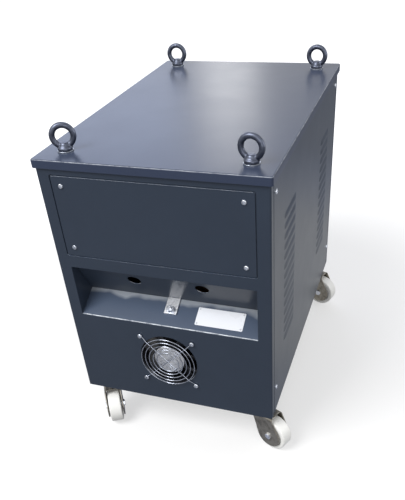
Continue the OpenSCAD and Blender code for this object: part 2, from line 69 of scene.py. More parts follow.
# Recess behind the cable mouth, with its floor sloping up and back
MOUTH_LOW = (-175 * MM, BODY_Z + 191 * MM)
MOUTH_HIGH = (175 * MM, BODY_Z + 296 * MM)
TILT = math.radians(28)
RECESS_LEN = 57 * MM
RECESS_T = 1.5 * MM
CABLE_R, CABLE_X, CABLE_S = 13 * MM, 66 * MM, 53 * MM
REACH, RISE = RECESS_LEN * math.cos(TILT), RECESS_LEN * math.sin(TILT)
GLAND_MARGIN = 8 * MM
GLAND_TOP = MOUTH_HIGH[1] - MOUTH_LOW[1] + CABLE_R * 2 / 3 + GLAND_MARGIN
GLAND_LEAN = math.atan(REACH / (GLAND_TOP - RISE))
INNER_Y = FRONT_Y + SHEET_T
RECESS_END = (INNER_Y + REACH, MOUTH_LOW[1] + RISE)
RECESS = Matrix.Translation((0, INNER_Y, MOUTH_LOW[1])) @ Matrix.Rotation(TILT, 4, "X")
GLAND = Matrix.Translation((0, *RECESS_END)) @ Matrix.Rotation(GLAND_LEAN, 4, "X")

FAN_X = (GUARD_LOW.x + GUARD_HIGH.x) / 2
FAN_Z = (GUARD_LOW.z + GUARD_HIGH.z) / 2
DUCT_R = 58.5 * MM
FAN_HOLE = 52.5 * MM

# Each lifting eye's place on the lid and its turn about its own axis
MOUNTS = {mount["name"]: mount["pos_m"] for mount in frame["record"]["mounts"]}
EYES = {corner: tuple(MOUNTS["lifting_eye_" + corner][:2]) for corner in CORNERS}
EYE_TURN = dict(zip(CORNERS, (math.radians(a) for a in (25, -8, 5, -4))))


# ---- mesh tools ----

def circle(radius, count, centre=(0, 0)):
    """Points round a circle."""
    turns = [math.tau * i / count for i in range(count)]
    return [Vector((centre[0] + radius * math.cos(t), centre[1] + radius * math.sin(t))) for t in turns]


def four_spots(x, y, centre=(0, 0)):
    """The four points that lie x and y to each side of a centre."""
    return [(centre[0] + a * x, centre[1] + b * y) for a in (-1, 1) for b in (-1, 1)]


def rounded_box(low, high, radius, steps=4):
    """Points round a rectangle with rounded corners, anticlockwise from the lower right corner."""
    points = []
    for i, (x, y) in enumerate(((high[0], low[1]), (high[0], high[1]), (low[0], high[1]), (low[0], low[1]))):
        middle = Vector((x - math.copysign(radius, x - (low[0] + high[0]) / 2),
                         y - math.copysign(radius, y - (low[1] + high[1]) / 2)))
        first = math.pi / 2 * (i - 1)
        for k in range(steps + 1):
            turn = first + math.pi / 2 * k / steps
            points.append(middle + radius * Vector((math.cos(turn), math.sin(turn))))
    return points


def folded_line(corners, radii, steps=5):
    """Straight runs joined by arcs, the way a press brake bends a sheet. Each inner corner has its radius."""
    line = [Vector(corners[0])]
    for before, corner, after, radius in zip(corners, corners[1:], corners[2:], radii):
        corner = Vector(corner)
        back = (Vector(before) - corner).normalized()
        on = (Vector(after) - corner).normalized()
        half = back.angle(on) / 2
        middle = corner + (back + on).normalized() * radius / math.sin(half)
        start = corner + back * radius / math.tan(half) - middle
        end = corner + on * radius / math.tan(half) - middle
        turn = math.atan2(start.x * end.y - start.y * end.x, start.dot(end))
        line += [middle + Matrix.Rotation(turn * k / steps, 2) @ start for k in range(steps + 1)]
    line.append(Vector(corners[-1]))
    return line


def run_lengths(line):
    """How far along a line each of its points lies, with 0 at the line's middle."""
    runs = [0.0]
    for a, b in zip(line, line[1:]):
        runs.append(runs[-1] + (b - a).length)
    return [run - runs[-1] / 2 for run in runs]


def along_line(line, runs, u):
    """The point that lies at u along a line."""
    i = next((k for k in range(1, len(runs) - 1) if u <= runs[k] + 1e-9), len(runs) - 1)
    return line[i - 1].lerp(line[i], (u - runs[i - 1]) / (runs[i] - runs[i - 1]))


def inside(point, loop):
    """True if a flat point lies within a loop of points."""
    odd = False
    for a, b in zip(loop, loop[1:] + loop[:1]):
        if (a.y > point.y) != (b.y > point.y):
            if point.x < a.x + (point.y - a.y) * (b.x - a.x) / (b.y - a.y):
                odd = not odd
    return odd


def cut_blank(outline, holes=(), creases=()):
    """Corner points and triangles of a flat blank with its holes cut out. Creases stay as edges."""
    loops = [[Vector(p) for p in loop] for loop in (outline, *holes)]
    points, edges = [], []
    for loop in loops:
        first = len(points)
        points += loop
        edges += [(first + i, first + (i + 1) % len(loop)) for i in range(len(loop))]
    for a, b in creases:
        edges.append((len(points), len(points) + 1))
        points += [Vector(a), Vector(b)]
    corners, _, faces, *_ = delaunay_2d_cdt(points, edges, [], 0, 1e-7)
    kept = []
    for face in faces:
        middle = sum((corners[i] for i in face), Vector((0, 0))) / len(face)
        if inside(middle, loops[0]) and not any(inside(middle, hole) for hole in loops[1:]):
            kept.append(face)
    return corners, kept


def add_blank(bm, blank, fold):
    """Adds a cut blank to a mesh, with fold(u, v) giving each point's place."""
    corners, faces = blank
    used = sorted({i for face in faces for i in face})
    verts = {i: bm.verts.new(fold(*corners[i])) for i in used}
    for face in faces:
        bm.faces.new([verts[i] for i in face])


def cap(bm, grid):
    """Closes both ends of a grid of rings."""
    bm.faces.new(list(reversed(grid[0])))
    bm.faces.new(grid[-1])


def weld(bm, gap=1e-6):
    """Joins points that lie on one another."""
    bmesh.ops.remove_doubles(bm, verts=bm.verts, dist=gap)


def add_grid(bm, rows, closed_u=False, closed_v=False):
    """Adds quads over rows of points. closed_u joins each row's ends, closed_v the last row to the first."""
    grid = [[bm.verts.new(p) for p in row] for row in rows]
    pairs = list(zip(grid, grid[1:]))
    if closed_v:
        pairs.append((grid[-1], grid[0]))
    for low, high in pairs:
        count = len(low)
        for i in range(count if closed_u else count - 1):
            k = (i + 1) % count
            bm.faces.new((low[i], low[k], high[k], high[i]))
    return grid


def add_lathe(bm, profile, segments, place=Matrix.Identity(4), closed=False):
    """Turns a profile of (radius, height) points round the local Z axis. Open ends are capped."""
    rows = []
    for radius, height in profile:
        rows.append([place @ Vector((*p, height)) for p in circle(max(radius, 1e-6), segments)])
    grid = add_grid(bm, rows, closed_u=True, closed_v=closed)
    if not closed:
        cap(bm, grid)


def add_prism(bm, outline, low, high, place=Matrix.Identity(4)):
    """A straight prism over a flat outline."""
    rows = [[place @ Vector((*p, z)) for p in outline] for z in (low, high)]
    cap(bm, add_grid(bm, rows, closed_u=True))


def add_tube(bm, points, radius, sides=10, closed=False):
    """A round wire along a line of points."""
    points = [Vector(p) for p in points]
    count = len(points)
    rows, across = [], None
    for i, point in enumerate(points):
        after = points[(i + 1) % count] if closed or i < count - 1 else point
        before = points[i - 1] if closed or i > 0 else point
        along = (after - before).normalized()
        if across is None:
            across = along.orthogonal().normalized()
        across = (across - along * across.dot(along)).normalized()
        other = along.cross(across)
        rows.append([point + radius * (across * p.x + other * p.y) for p in circle(1, sides)])
    grid = add_grid(bm, rows, closed_u=True, closed_v=closed)
    if not closed:
        cap(bm, grid)


def arc(start, stop, steps, radius, centre=(0, 0)):
    """Points along an arc, with angles in degrees."""
    turns = [math.radians(start + (stop - start) * k / steps) for k in range(steps + 1)]
    return [(centre[0] + radius * math.cos(t), centre[1] + radius * math.sin(t)) for t in turns]


def scaled(*points):
    """Points given in millimetres."""
    return [(x * MM, y * MM) for x, y in points]


def raised(height, *points):
    """A profile in millimetres, moved up to a height in metres."""
    return [(x * MM, height + y * MM) for x, y in points]


def put(name, data):
    """A new object in the scene."""
    thing = bpy.data.objects.new(name, data)
    bpy.context.scene.collection.objects.link(thing)
    return thing


def make(name, bm, material, body="cabinet", replaces=(), sheet=0.0, bevel=0.0, sharp=35):
    """Turns a mesh into a piece that rides on a body. A sheet is thickened away from its normals."""
    if not sheet:
        bmesh.ops.recalc_face_normals(bm, faces=bm.faces)
    mesh = bpy.data.meshes.new(name)
    bm.to_mesh(mesh)
    bm.free()
    mesh.shade_smooth()
    mesh.set_sharp_from_angle(angle=math.radians(sharp))
    piece = put(name, mesh)
    mesh.materials.append(material)
    if sheet:
        thick = piece.modifiers.new("sheet", "SOLIDIFY")
        thick.thickness = sheet
        thick.offset = -1
        thick.use_even_offset = True
    if bevel:
        edge = piece.modifiers.new("edge", "BEVEL")
        edge.width = bevel
        edge.segments = 2
        edge.limit_method = "ANGLE"
        edge.angle_limit = math.radians(sharp)
        edge.harden_normals = True
    even = piece.modifiers.new("even_shading", "WEIGHTED_NORMAL")
    even.keep_sharp = True
    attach(piece, body)
    if replaces:
        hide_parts(*replaces)
    return piece


def upright(x, z, y=FRONT_Y):
    """Local X to the right, local Y up and local Z out of the front."""
    return Matrix.Translation((x, y, z)) @ Matrix.Rotation(math.pi / 2, 4, "X")


# ---- shader tools ----

class Nodes:
    """Short ways to add and join nodes in a tree."""

    def __init__(self, tree):
        self.tree = tree

    def add(self, kind, **values):
        node = self.tree.nodes.new(kind)
        for key, value in values.items():
            setattr(node, key, value)
        return node

    def join(self, a, b):
        self.tree.links.new(a, b)

    def feed(self, socket, value):
        """Gives a socket a plain value or another node's output."""
        if isinstance(value, bpy.types.NodeSocket):
            self.join(value, socket)
        else:
            socket.default_value = value

    def maths(self, operation, a, b):
        node = self.add("ShaderNodeMath", operation=operation)
        self.feed(node.inputs[0], a)
        self.feed(node.inputs[1], b)
        return node.outputs[0]

    def times(self, a, b):
        return self.maths("MULTIPLY", a, b)

    def noise(self, scale, detail, rough, vector):
        node = self.add("ShaderNodeTexNoise")
        node.inputs["Detail"].default_value = detail
        node.inputs["Roughness"].default_value = rough
        self.feed(node.inputs["Scale"], scale)
        self.join(vector, node.inputs["Vector"])
        return node.outputs["Fac"]

    def spread(self, value, low, high, out_low=0.0, out_high=1.0):
        node = self.add("ShaderNodeMapRange")
        node.clamp = True
        self.join(value, node.inputs["Value"])
        for key, number in (("From Min", low), ("From Max", high), ("To Min", out_low), ("To Max", out_high)):
            node.inputs[key].default_value = number
        return node.outputs["Result"]

    def mix(self, factor, a, b):
        node = self.add("ShaderNodeMix", data_type="RGBA")
        for socket, value in ((node.inputs[0], factor), (node.inputs[6], a), (node.inputs[7], b)):
            self.feed(socket, value)
        return node.outputs[2]

    def place(self):
        return self.add("ShaderNodeTexCoord").outputs["Object"]

    def axis(self, vector, letter):
        node = self.add("ShaderNodeSeparateXYZ")
        self.join(vector, node.inputs[0])
        return node.outputs[letter]

    def distance(self, place, point):
        node = self.add("ShaderNodeVectorMath", operation="DISTANCE")
        self.join(place, node.inputs[0])
        node.inputs[1].default_value = point
        return node.outputs["Value"]

    def lift(self):
        """How far a surface faces up: 1 is level, 0 is upright."""
        return self.axis(self.add("ShaderNodeNewGeometry").outputs["Normal"], "Z")


DARK = (0.1, 0.1, 0.1, 1)
PALE = (0.5, 0.5, 0.5, 1)


def node_group(name, inputs, outputs):
    """An empty shader node group with named sockets, and the tools, inputs and outputs to fill it with."""
    def socket(label, in_out, colour):
        kind = "NodeSocketColor" if colour else "NodeSocketFloat"
        return tree.interface.new_socket(name=label, in_out=in_out, socket_type=kind)

    tree = bpy.data.node_groups.new(name, "ShaderNodeTree")
    for label, value in inputs.items():
        socket(label, "INPUT", value in (DARK, PALE)).default_value = value
    for label in outputs:
        socket(label, "OUTPUT", label == "Colour")
    n = Nodes(tree)
    return n, n.add("NodeGroupInput").outputs, n.add("NodeGroupOutput").inputs


def build_paint_grain():
    """Sprayed paint: a fine orange peel over the slow waves of a rolled sheet."""
    n, given, out = node_group(
        "paint_grain", {"Peel Scale": 700.0, "Peel Depth": 0.25, "Wave Depth": 1.0}, ["Height", "Gloss"])
    place = n.place()
    peel = n.noise(given["Peel Scale"], 2.0, 0.6, place)
    wave = n.noise(5.0, 1.0, 0.4, place)
    patch = n.noise(14.0, 4.0, 0.6, place)
    fine = n.times(peel, given["Peel Depth"])
    slow = n.times(wave, given["Wave Depth"])
    n.join(n.maths("ADD", fine, slow), out["Height"])
    n.join(n.spread(patch, 0.3, 0.7), out["Gloss"])
    return n.tree


def build_workshop_dust():
    """Thin dust and faint wipe marks that lift a colour a little, and painted top light: surfaces that face up are
    lightened as if lit from above.
    """
    n, given, out = node_group(
        "workshop_dust", {"Colour": DARK, "Dust": PALE, "Amount": 0.1, "Settling": 0.5}, ["Colour"])
    place = n.place()
    level = n.spread(n.lift(), 0.2, 1.0)
    cloud = n.spread(n.noise(9.0, 5.0, 0.65, place), 0.35, 0.75)
    speck = n.spread(n.noise(420.0, 2.0, 0.5, place), 0.62, 0.7)
    # Painted top light: surfaces that face up are lightened as if lit from above.
    lit_tops = n.times(level, given["Settling"])
    share = n.maths("ADD", lit_tops, n.times(cloud, 0.5))
    share = n.maths("ADD", share, n.times(speck, 0.35))
    mask = n.times(share, given["Amount"])
    n.join(n.mix(mask, given["Colour"], given["Dust"]), out["Colour"])
    return n.tree


def build_metal_grain():
    """Plated or rolled metal: cloudy colour, hairline scratches and a faint grain."""
    n, given, out = node_group(
        "metal_grain", {"Colour": PALE, "Stain": DARK, "Scale": 60.0, "Roughness": 0.3},
        ["Colour", "Roughness", "Height"])
    place = n.place()
    cloud = n.noise(given["Scale"], 4.0, 0.6, place)
    stretch = n.add("ShaderNodeMapping")
    stretch.inputs["Scale"].default_value = (1.0, 18.0, 18.0)
    n.join(place, stretch.inputs["Vector"])
    hair = n.noise(90.0, 3.0, 0.7, stretch.outputs[0])
    n.join(n.mix(n.spread(cloud, 0.42, 0.72), given["Colour"], given["Stain"]), out["Colour"])
    change = n.times(n.maths("SUBTRACT", hair, 0.5), 0.25)
    n.join(n.maths("ADD", given["Roughness"], change), out["Roughness"])
    n.join(n.maths("ADD", n.times(cloud, 0.4), n.times(hair, 0.3)), out["Height"])
    return n.tree


def build_thin_edge():
    """A painted highlight along bends and edges that face up and out, broken up by noise."""
    n, given, out = node_group(
        "thin_edge", {"Colour": DARK, "Worn": PALE, "Amount": 0.5}, ["Colour"])
    lift = n.lift()
    place = n.place()
    bend = n.times(n.spread(lift, 0.35, 0.6), n.spread(lift, 0.86, 0.78))
    broken = n.spread(n.noise(60.0, 5.0, 0.7, place), 0.32, 0.6)
    mask = n.times(n.times(bend, broken), given["Amount"])
    n.join(n.mix(mask, given["Colour"], given["Worn"]), out["Colour"])
    return n.tree


def build_corner_dust():
    """A painted highlight: a pale, uneven strip of reflected light along a tray's rear edge, on surfaces that face
    up.
    """
    n, given, out = node_group(
        "corner_dust", {"Colour": DARK, "Dust": PALE, "Edge": 0.0, "Width": 0.02}, ["Colour"])
    place = n.place()
    inward = n.maths("SUBTRACT", given["Edge"], n.axis(place, "Y"))
    uneven = n.spread(n.noise(16.0, 2.0, 0.5, place), 0.36, 0.64, 0.1, 1.0)
    strip = n.maths("SUBTRACT", inward, n.times(uneven, given["Width"]))
    level = n.spread(n.lift(), 0.6, 0.8, 0.0, 0.5)
    mask = n.times(n.spread(strip, 0.003, -0.005), level)
    mask = n.times(mask, n.spread(inward, -0.004, -0.002))
    n.join(n.mix(mask, given["Colour"], given["Dust"]), out["Colour"])
    return n.tree


GROUPS = {
    build.__name__[len("build_"):]: build()
    for build in (build_paint_grain, build_workshop_dust, build_metal_grain, build_thin_edge,
                  build_corner_dust)
}


def new_material(name, **sockets):
    """A material with a Principled shader whose plain values are set on its own sockets."""
    material = bpy.data.materials.new(name)
    material.use_nodes = True
    n = Nodes(material.node_tree)
    shader = material.node_tree.nodes["Principled BSDF"]
    for key, value in sockets.items():
        shader.inputs[key.replace("_", " ")].default_value = value
    return material, n, shader


def place_group(n, name, **sockets):
    """Places a shared group with its own values or other nodes' outputs, and gives its outputs."""
    node = n.add("ShaderNodeGroup", node_tree=GROUPS[name])
    for key, value in sockets.items():
        n.feed(node.inputs[key.replace("_", " ")], value)
    return node.outputs


def finish(n, shader, colour, roughness, height, strength, distance):
    """Joins a colour, a roughness and a relief to a material's shader."""
    n.join(colour, shader.inputs["Base Color"])
    n.join(roughness, shader.inputs["Roughness"])
    node = n.add("ShaderNodeBump")
    node.inputs["Strength"].default_value = strength
    node.inputs["Distance"].default_value = distance
    n.join(height, node.inputs["Height"])
    n.join(node.outputs["Normal"], shader.inputs["Normal"])


def srgb(red, green, blue):
    """A colour given as 0 to 255, as the shader's linear values."""
    def linear(value):
        value /= 255
        return value / 12.92 if value <= 0.04045 else ((value + 0.055) / 1.055) ** 2.4
    return (linear(red), linear(green), linear(blue), 1)


def painted(name, colour, roughness, top_lightening, highlight_amount, strip=0.0):
    """Semi-gloss cabinet paint. strip is the width of the pale painted highlight at the recess's rear edge."""
    material, n, shader = new_material(name, Specular_IOR_Level=0.3)
    grain = place_group(n, "paint_grain")
    # Surfaces that face up, the recess floor most, are lightened towards a pale blue as if lit from above: painted
    # top light. The noise adds thin dust.
    dust_and_lit_tops = place_group(n, "workshop_dust", Colour=colour, Dust=srgb(128, 148, 182), Amount=0.03,
                       Settling=top_lightening)
    coat = dust_and_lit_tops["Colour"]
    # Painted highlight: a pale strip of reflected light along the rear edge of the recess floor.
    if strip:
        coat = place_group(n, "corner_dust", Colour=coat, Dust=srgb(196, 202, 208),
                           Edge=RECESS_END[0], Width=strip)["Colour"]
    # Painted highlight: near-white lines along bends and edges that face up and out.
    edge = place_group(n, "thin_edge", Colour=coat, Worn=srgb(226, 232, 240), Amount=highlight_amount)
    gloss = n.spread(grain["Gloss"], 0.0, 1.0, roughness - 0.01, roughness + 0.02)
    finish(n, shader, edge["Colour"], gloss, grain["Height"], 0.25, 0.0004)
    return material


def metal(name, colour, stain, roughness, scale=60.0, strength=0.2):
    """Bare or plated metal."""
    material, n, shader = new_material(name, Metallic=1.0)
    grain = place_group(n, "metal_grain", Colour=colour, Stain=stain, Scale=scale, Roughness=roughness)
    finish(n, shader, grain["Colour"], grain["Roughness"], grain["Height"], strength, 0.0002)
    return material


def moulded(name, colour, soil, roughness, amount, strength=0.15):
    """Moulded plastic with a little soil."""
    material, n, shader = new_material(name)
    # Soil, and a faint painted top light on surfaces that face up.
    dust_and_lit_tops = place_group(n, "workshop_dust", Colour=colour, Dust=soil, Amount=amount, Settling=0.2)
    grain = place_group(n, "paint_grain", Peel_Scale=1500.0, Peel_Depth=0.4, Wave_Depth=0.0)
    gloss = n.spread(grain["Gloss"], 0.0, 1.0, roughness - 0.05, roughness + 0.08)
    finish(n, shader, dust_and_lit_tops["Colour"], gloss, grain["Height"], strength, 0.0002)
    return material


def striped(name, colour, gap, axis, pitch, metallic, roughness):
    """Stacked laminations or wound wire: fine lines across one axis."""
    material, n, shader = new_material(name, Metallic=metallic)
    place = n.place()
    bands_at_one = 3.2
    wave = n.add("ShaderNodeTexWave", wave_type="BANDS", bands_direction=axis, wave_profile="SIN")
    wave.inputs["Scale"].default_value = 1 / pitch / bands_at_one
    wave.inputs["Distortion"].default_value = 0.4
    n.join(place, wave.inputs["Vector"])
    cloud = n.noise(30.0, 4.0, 0.6, place)
    line = n.times(n.spread(wave.outputs["Fac"], 0.1, 0.5), n.spread(cloud, 0.2, 0.6, 0.6, 1.0))
    gloss = n.spread(cloud, 0.3, 0.7, roughness, roughness + 0.15)
    finish(n, shader, n.mix(line, gap, colour), gloss, wave.outputs["Fac"], 0.4, 0.0004)
    return material


SLATE_BLUE = srgb(47, 56, 70)
# On the body and front paint the 7.0 lightens surfaces that face up as painted top light; the lid's 0.5 does so
# faintly.
BODY_PAINT = painted("cabinet_paint", SLATE_BLUE, 0.3, 7.0, 0.85)
FRONT_PAINT = painted("front_paint", SLATE_BLUE, 0.3, 7.0, 0.9, 15 * MM)
# The lid has the body's paint; this lighter, bluer copy stands in for the bluer light that falls on the lid:
# painted light.
LID_PAINT_RETONED_FOR_LIGHT = painted("lid_paint", srgb(51, 60, 81), 0.3, 0.5, 0.4)
FORGED = metal("forged_steel", srgb(96, 101, 115), srgb(68, 72, 84), 0.4, 160.0, 0.35)
ZINC = metal("bright_zinc", srgb(222, 226, 234), srgb(186, 192, 204), 0.28, 120.0)
WASHER_ZINC = metal("polished_zinc", srgb(172, 178, 188), srgb(140, 146, 156), 0.34, 200.0)
FORK_ZINC = metal("dull_zinc", srgb(156, 151, 141), srgb(104, 100, 92), 0.34, 90.0, 0.3)
TINNED = metal("tinned_copper", srgb(226, 228, 232), srgb(196, 198, 204), 0.34, 200.0)
CHROME = metal("bright_wire", srgb(186, 191, 203), srgb(150, 156, 168), 0.16, 80.0, 0.05)
DISC_METAL = metal("motor_disc", srgb(246, 247, 249), srgb(196, 198, 204), 0.36, 260.0, 0.7)
FAN_BLACK = moulded("fan_black", srgb(16, 18, 25), srgb(96, 98, 104), 0.42, 0.08)
NYLON = moulded("white_nylon", srgb(250, 250, 247), srgb(196, 194, 186), 0.42, 0.05)
LABEL = moulded("blank_plate", srgb(240, 243, 250), srgb(206, 208, 210), 0.3, 0.25, 0.05)
LAMINATION = striped("laminations", srgb(92, 94, 100), srgb(46, 46, 50), "X", 0.0018, 0.6, 0.5)
WINDING = striped("winding_wire", srgb(112, 68, 38), srgb(60, 36, 20), "Z", 0.0026, 0.4, 0.35)


# ---- cabinet sheets ----

RETURN_D = 16 * MM
STEP_IN = COVER_T
FLANGE_Y = 40 * MM
BEND_R = 3.5 * MM
TIGHT_R = 1.0 * MM
SILL_R = 3.5 * MM
SILL_DROP = 3 * MM


def shell_line():
    """The end panel's outer face in plan, from the left flange round the front to the right flange."""
    right = [
        (HALF_W, FRONT_Y),
        (HALF_W, FRONT_Y + RETURN_D - STEP_IN),
        (HALF_W - STEP_IN, FRONT_Y + RETURN_D),
        (HALF_W - STEP_IN, FRONT_Y + FLANGE_Y),
    ]
    left = [(-x, y) for x, y in reversed(right)]
    return folded_line(left + right, [TIGHT_R, TIGHT_R, BEND_R, BEND_R, TIGHT_R, TIGHT_R])


def add_folded(bm, line, low, high, holes=(), place=Matrix.Identity(4)):
    """A blank with holes, folded along a line in plan. Its flat middle is u = 0."""
    runs = run_lengths(line)

    def fold(u, v):
        spot = along_line(line, runs, u)
        return place @ Vector((spot.x, spot.y, v))

    outline = [(u, low) for u in runs] + [(u, high) for u in reversed(runs)]
    creases = [((u, low), (u, high)) for u in runs[1:-1]]
    add_blank(bm, cut_blank(outline, holes, creases), fold)


def sill_line():
    """The panel's face under the mouth, rolled back over the sill and on up the recess's floor."""
    low = (FRONT_Y, MOUTH_LOW[1] - SHEET_T * math.tan(TILT))
    return folded_line([(low[0], low[1] - SILL_DROP), low, RECESS_END], [SILL_R], 8)


def build_front_panel():
    gap, ledge, lap, corner_r = 2 * MM, 14 * MM, 4 * MM, 4 * MM
    hole_low = (ACCESS_LOW.x - gap, ACCESS_LOW.z - gap)
    hole_high = (ACCESS_HIGH.x + gap, ACCESS_HIGH.z + gap)
    duct = circle(DUCT_R, 64, (FAN_X, FAN_Z))
    roll = sill_line()
    mouth = [(MOUTH_LOW[0], roll[0].y), (MOUTH_HIGH[0], roll[0].y), MOUTH_HIGH, (MOUTH_LOW[0], MOUTH_HIGH[1])]
    access = rounded_box(hole_low, hole_high, corner_r)
    bm = bmesh.new()
    add_folded(bm, shell_line(), BODY_Z, PANEL_TOP, [access, mouth, duct])
    add_grid(bm, [[Vector((x, p.x, p.y)) for p in roll] for x in (MOUTH_HIGH[0], MOUTH_LOW[0])])
    weld(bm)
    make("front_panel_sheet", bm, FRONT_PAINT, replaces=["front_panel", "recess_tray"],
         sheet=SHEET_T, bevel=0.8 * MM)

    outer = rounded_box((hole_low[0] - lap, hole_low[1] - lap),
                        (hole_high[0] + lap, hole_high[1] + lap), corner_r)
    inner = rounded_box((ACCESS_LOW.x + ledge, ACCESS_LOW.z + ledge),
                        (ACCESS_HIGH.x - ledge, ACCESS_HIGH.z - ledge), 6 * MM)
    bm = bmesh.new()
    add_blank(bm, cut_blank(outer, [inner]), lambda u, v: Vector((u, INNER_Y, v)))
    make("access_ledge", bm, BODY_PAINT, sheet=SHEET_T)


def build_rear_panel():
    bm = bmesh.new()
    add_folded(bm, shell_line(), BODY_Z, PANEL_TOP, place=Matrix.Rotation(math.pi, 4, "Z"))
    make("rear_panel_sheet", bm, BODY_PAINT, replaces=["rear_panel"],
         sheet=SHEET_T, bevel=0.35 * MM)


def build_access_panel():
    outline = rounded_box((ACCESS_LOW.x, ACCESS_LOW.z), (ACCESS_HIGH.x, ACCESS_HIGH.z), 3 * MM)
    bm = bmesh.new()
    add_blank(bm, cut_blank(outline), lambda u, v: Vector((u, FRONT_Y, v)))
    make("access_panel_sheet", bm, BODY_PAINT, replaces=["access_panel"],
         sheet=SHEET_T, bevel=0.5 * MM)


LOUVRE_W = 92 * MM
LOUVRE_H = 11 * MM
LOUVRE_PITCH = 20 * MM
LOUVRE_ROWS = 14
LOUVRE_Z = BODY_Z + 125 * MM
LOUVRE_Y = 164 * MM
LOUVRE_OUT = 2.3 * MM


def louvre_hood(y, z):
    """Rows of points over one pressed louvre: flat along its top and ends, open along its foot."""
    along, down = 20, 6
    end_r = 20 * MM
    rows = []
    for k in range(down + 1):
        fall = k / down
        rise = math.sin(math.pi / 2 * fall) ** 1.3
        row = []
        for i in range(along + 1):
            place = 0.5 - 0.5 * math.cos(math.pi * i / along)
            from_end = min(place, 1 - place) * LOUVRE_W
            swell = math.sin(math.pi / 2 * min(1.0, from_end / end_r)) ** 0.8
            row.append(Vector((LOUVRE_OUT * rise * swell, y + (place - 0.5) * LOUVRE_W,
                               z + LOUVRE_H * (1 - fall))))
        rows.append(row)
    return rows


def build_covers():
    low = (COVER_LOW.y, COVER_LOW.z)
    high = (COVER_HIGH.y, COVER_HIGH.z)
    hoods = [louvre_hood(side * LOUVRE_Y, LOUVRE_Z + i * LOUVRE_PITCH)
             for side in (-1, 1) for i in range(LOUVRE_ROWS)]
    holes = []
    for rows in hoods:
        rim = rows[0] + [row[-1] for row in rows[1:]]
        rim += list(reversed(rows[-1][:-1])) + [row[0] for row in reversed(rows[1:-1])]
        holes.append([Vector((p.y, p.z)) for p in rim])
    blank = cut_blank([low, (high[0], low[1]), high, (low[0], high[1])], holes)
    for name, half_turns in (("right", 0), ("left", 1)):
        turn = Matrix.Rotation(half_turns * math.pi, 4, "Z")
        bm = bmesh.new()
        add_blank(bm, blank, lambda u, v: turn @ Vector((HALF_W, u, v)))
        for rows in hoods:
            add_grid(bm, [[turn @ (p + Vector((HALF_W, 0, 0))) for p in reversed(row)] for row in rows])
        weld(bm)
        make(name + "_cover_sheet", bm, BODY_PAINT, replaces=[name + "_cover"],
             sheet=COVER_T, bevel=0.3 * MM, sharp=50)


def build_lid():
    edge_r, corner_r, bolt_r, steps = 2.5 * MM, 4.5 * MM, 5.5 * MM, 5
    rings = []
    for inset, z in [(0.0, LID_LOW.z)] + [(edge_r - x, LID_HIGH.z - edge_r + y)
                                          for x, y in arc(0, 90, steps, edge_r)]:
        rings.append([Vector((*p, z)) for p in rounded_box(
            (LID_LOW.x + inset, LID_LOW.y + inset), (LID_HIGH.x - inset, LID_HIGH.y - inset),
            corner_r - inset * 0.5, steps)])
    bolts = [circle(bolt_r, 16, EYES[corner]) for corner in CORNERS]
    bm = bmesh.new()
    add_grid(bm, rings, closed_u=True)
    add_blank(bm, cut_blank([Vector((p.x, p.y)) for p in rings[-1]], bolts),
              lambda u, v: Vector((u, v, LID_HIGH.z)))
    weld(bm)
    make("lid_sheet", bm, LID_PAINT_RETONED_FOR_LIGHT, replaces=["lid"], sheet=SHEET_T, bevel=0.3 * MM, sharp=50)


# ---- screws ----

def add_pan_head(bm, place, radius, height):
    """A pan-head screw with a cross recess, standing on the local Z = 0 plane."""
    def dome(reach):
        return height * (1 - 0.38 * (reach / radius) ** 2.4)

    crown = 0.72 * radius
    side = [(radius, 0.0), (radius, 0.3 * height)]
    side += [(radius * r, dome(radius * r) * f) for r, f in ((0.97, 0.86), (0.9, 0.97), (0.82, 1.0))]
    side.append((crown, dome(crown)))
    rows = [[place @ Vector((*p, z)) for p in circle(r, 28)] for r, z in side]
    head = add_grid(bm, rows, closed_u=True)
    bm.faces.new(list(reversed(head[0])))
    arm, half, taper, bottom = 0.52 * radius, 0.11 * radius, 0.8, 0.35 * height
    cross = []
    for turn in range(4):
        spin = Matrix.Rotation(turn * math.pi / 2, 2)
        cross += [spin @ Vector(p) for p in ((arm, -half), (arm, half), (half * 1.3, half * 1.3))]
    add_blank(bm, cut_blank(circle(crown, 28), [cross]),
              lambda u, v: place @ Vector((u, v, dome(math.hypot(u, v)))))
    walls = [[place @ Vector((*p, dome(p.length))) for p in cross],
             [place @ Vector((*(p * taper), bottom)) for p in cross]]
    bm.faces.new(add_grid(bm, walls, closed_u=True)[-1])


def build_screws():
    inset, side_inset = 17 * MM, 12 * MM
    rows = (BODY_Z + 60 * MM, BODY_Z + 463 * MM)
    radius, height = 4.2 * MM, 2.6 * MM
    sets = {"access_panel_screws": [
        upright(x, z) for x in (ACCESS_LOW.x + inset, ACCESS_HIGH.x - inset)
        for z in (ACCESS_LOW.z + inset, ACCESS_HIGH.z - inset)]}
    for name, side in (("right", 1), ("left", -1)):
        turn = Matrix.Rotation(side * math.pi / 2, 4, "Y")
        sets[name + "_cover_screws"] = [
            Matrix.Translation((side * HALF_W, y, z)) @ turn
            for y in (COVER_LOW.y + side_inset, COVER_HIGH.y - side_inset) for z in rows]
    for name, places in sets.items():
        bm = bmesh.new()
        for place in places:
            add_pan_head(bm, place, radius, height)
        weld(bm)
        make(name, bm, ZINC)


# ---- cable recess ----

def build_recess_cheeks():
    brow = RECESS_END[0] - math.tan(GLAND_LEAN) * (MOUTH_HIGH[1] - RECESS_END[1])
    outline = [(INNER_Y, MOUTH_LOW[1]), RECESS_END, (brow, MOUTH_HIGH[1]), (INNER_Y, MOUTH_HIGH[1])]
    for side, name in ((-1, "left"), (1, "right")):
        bm = bmesh.new()
        add_blank(bm, cut_blank(outline), lambda u, v: Vector((side * MOUTH_HIGH[0], u, v)))
        if side > 0:
            bmesh.ops.reverse_faces(bm, faces=bm.faces)
        make("recess_cheek_" + name, bm, BODY_PAINT, sheet=RECESS_T)


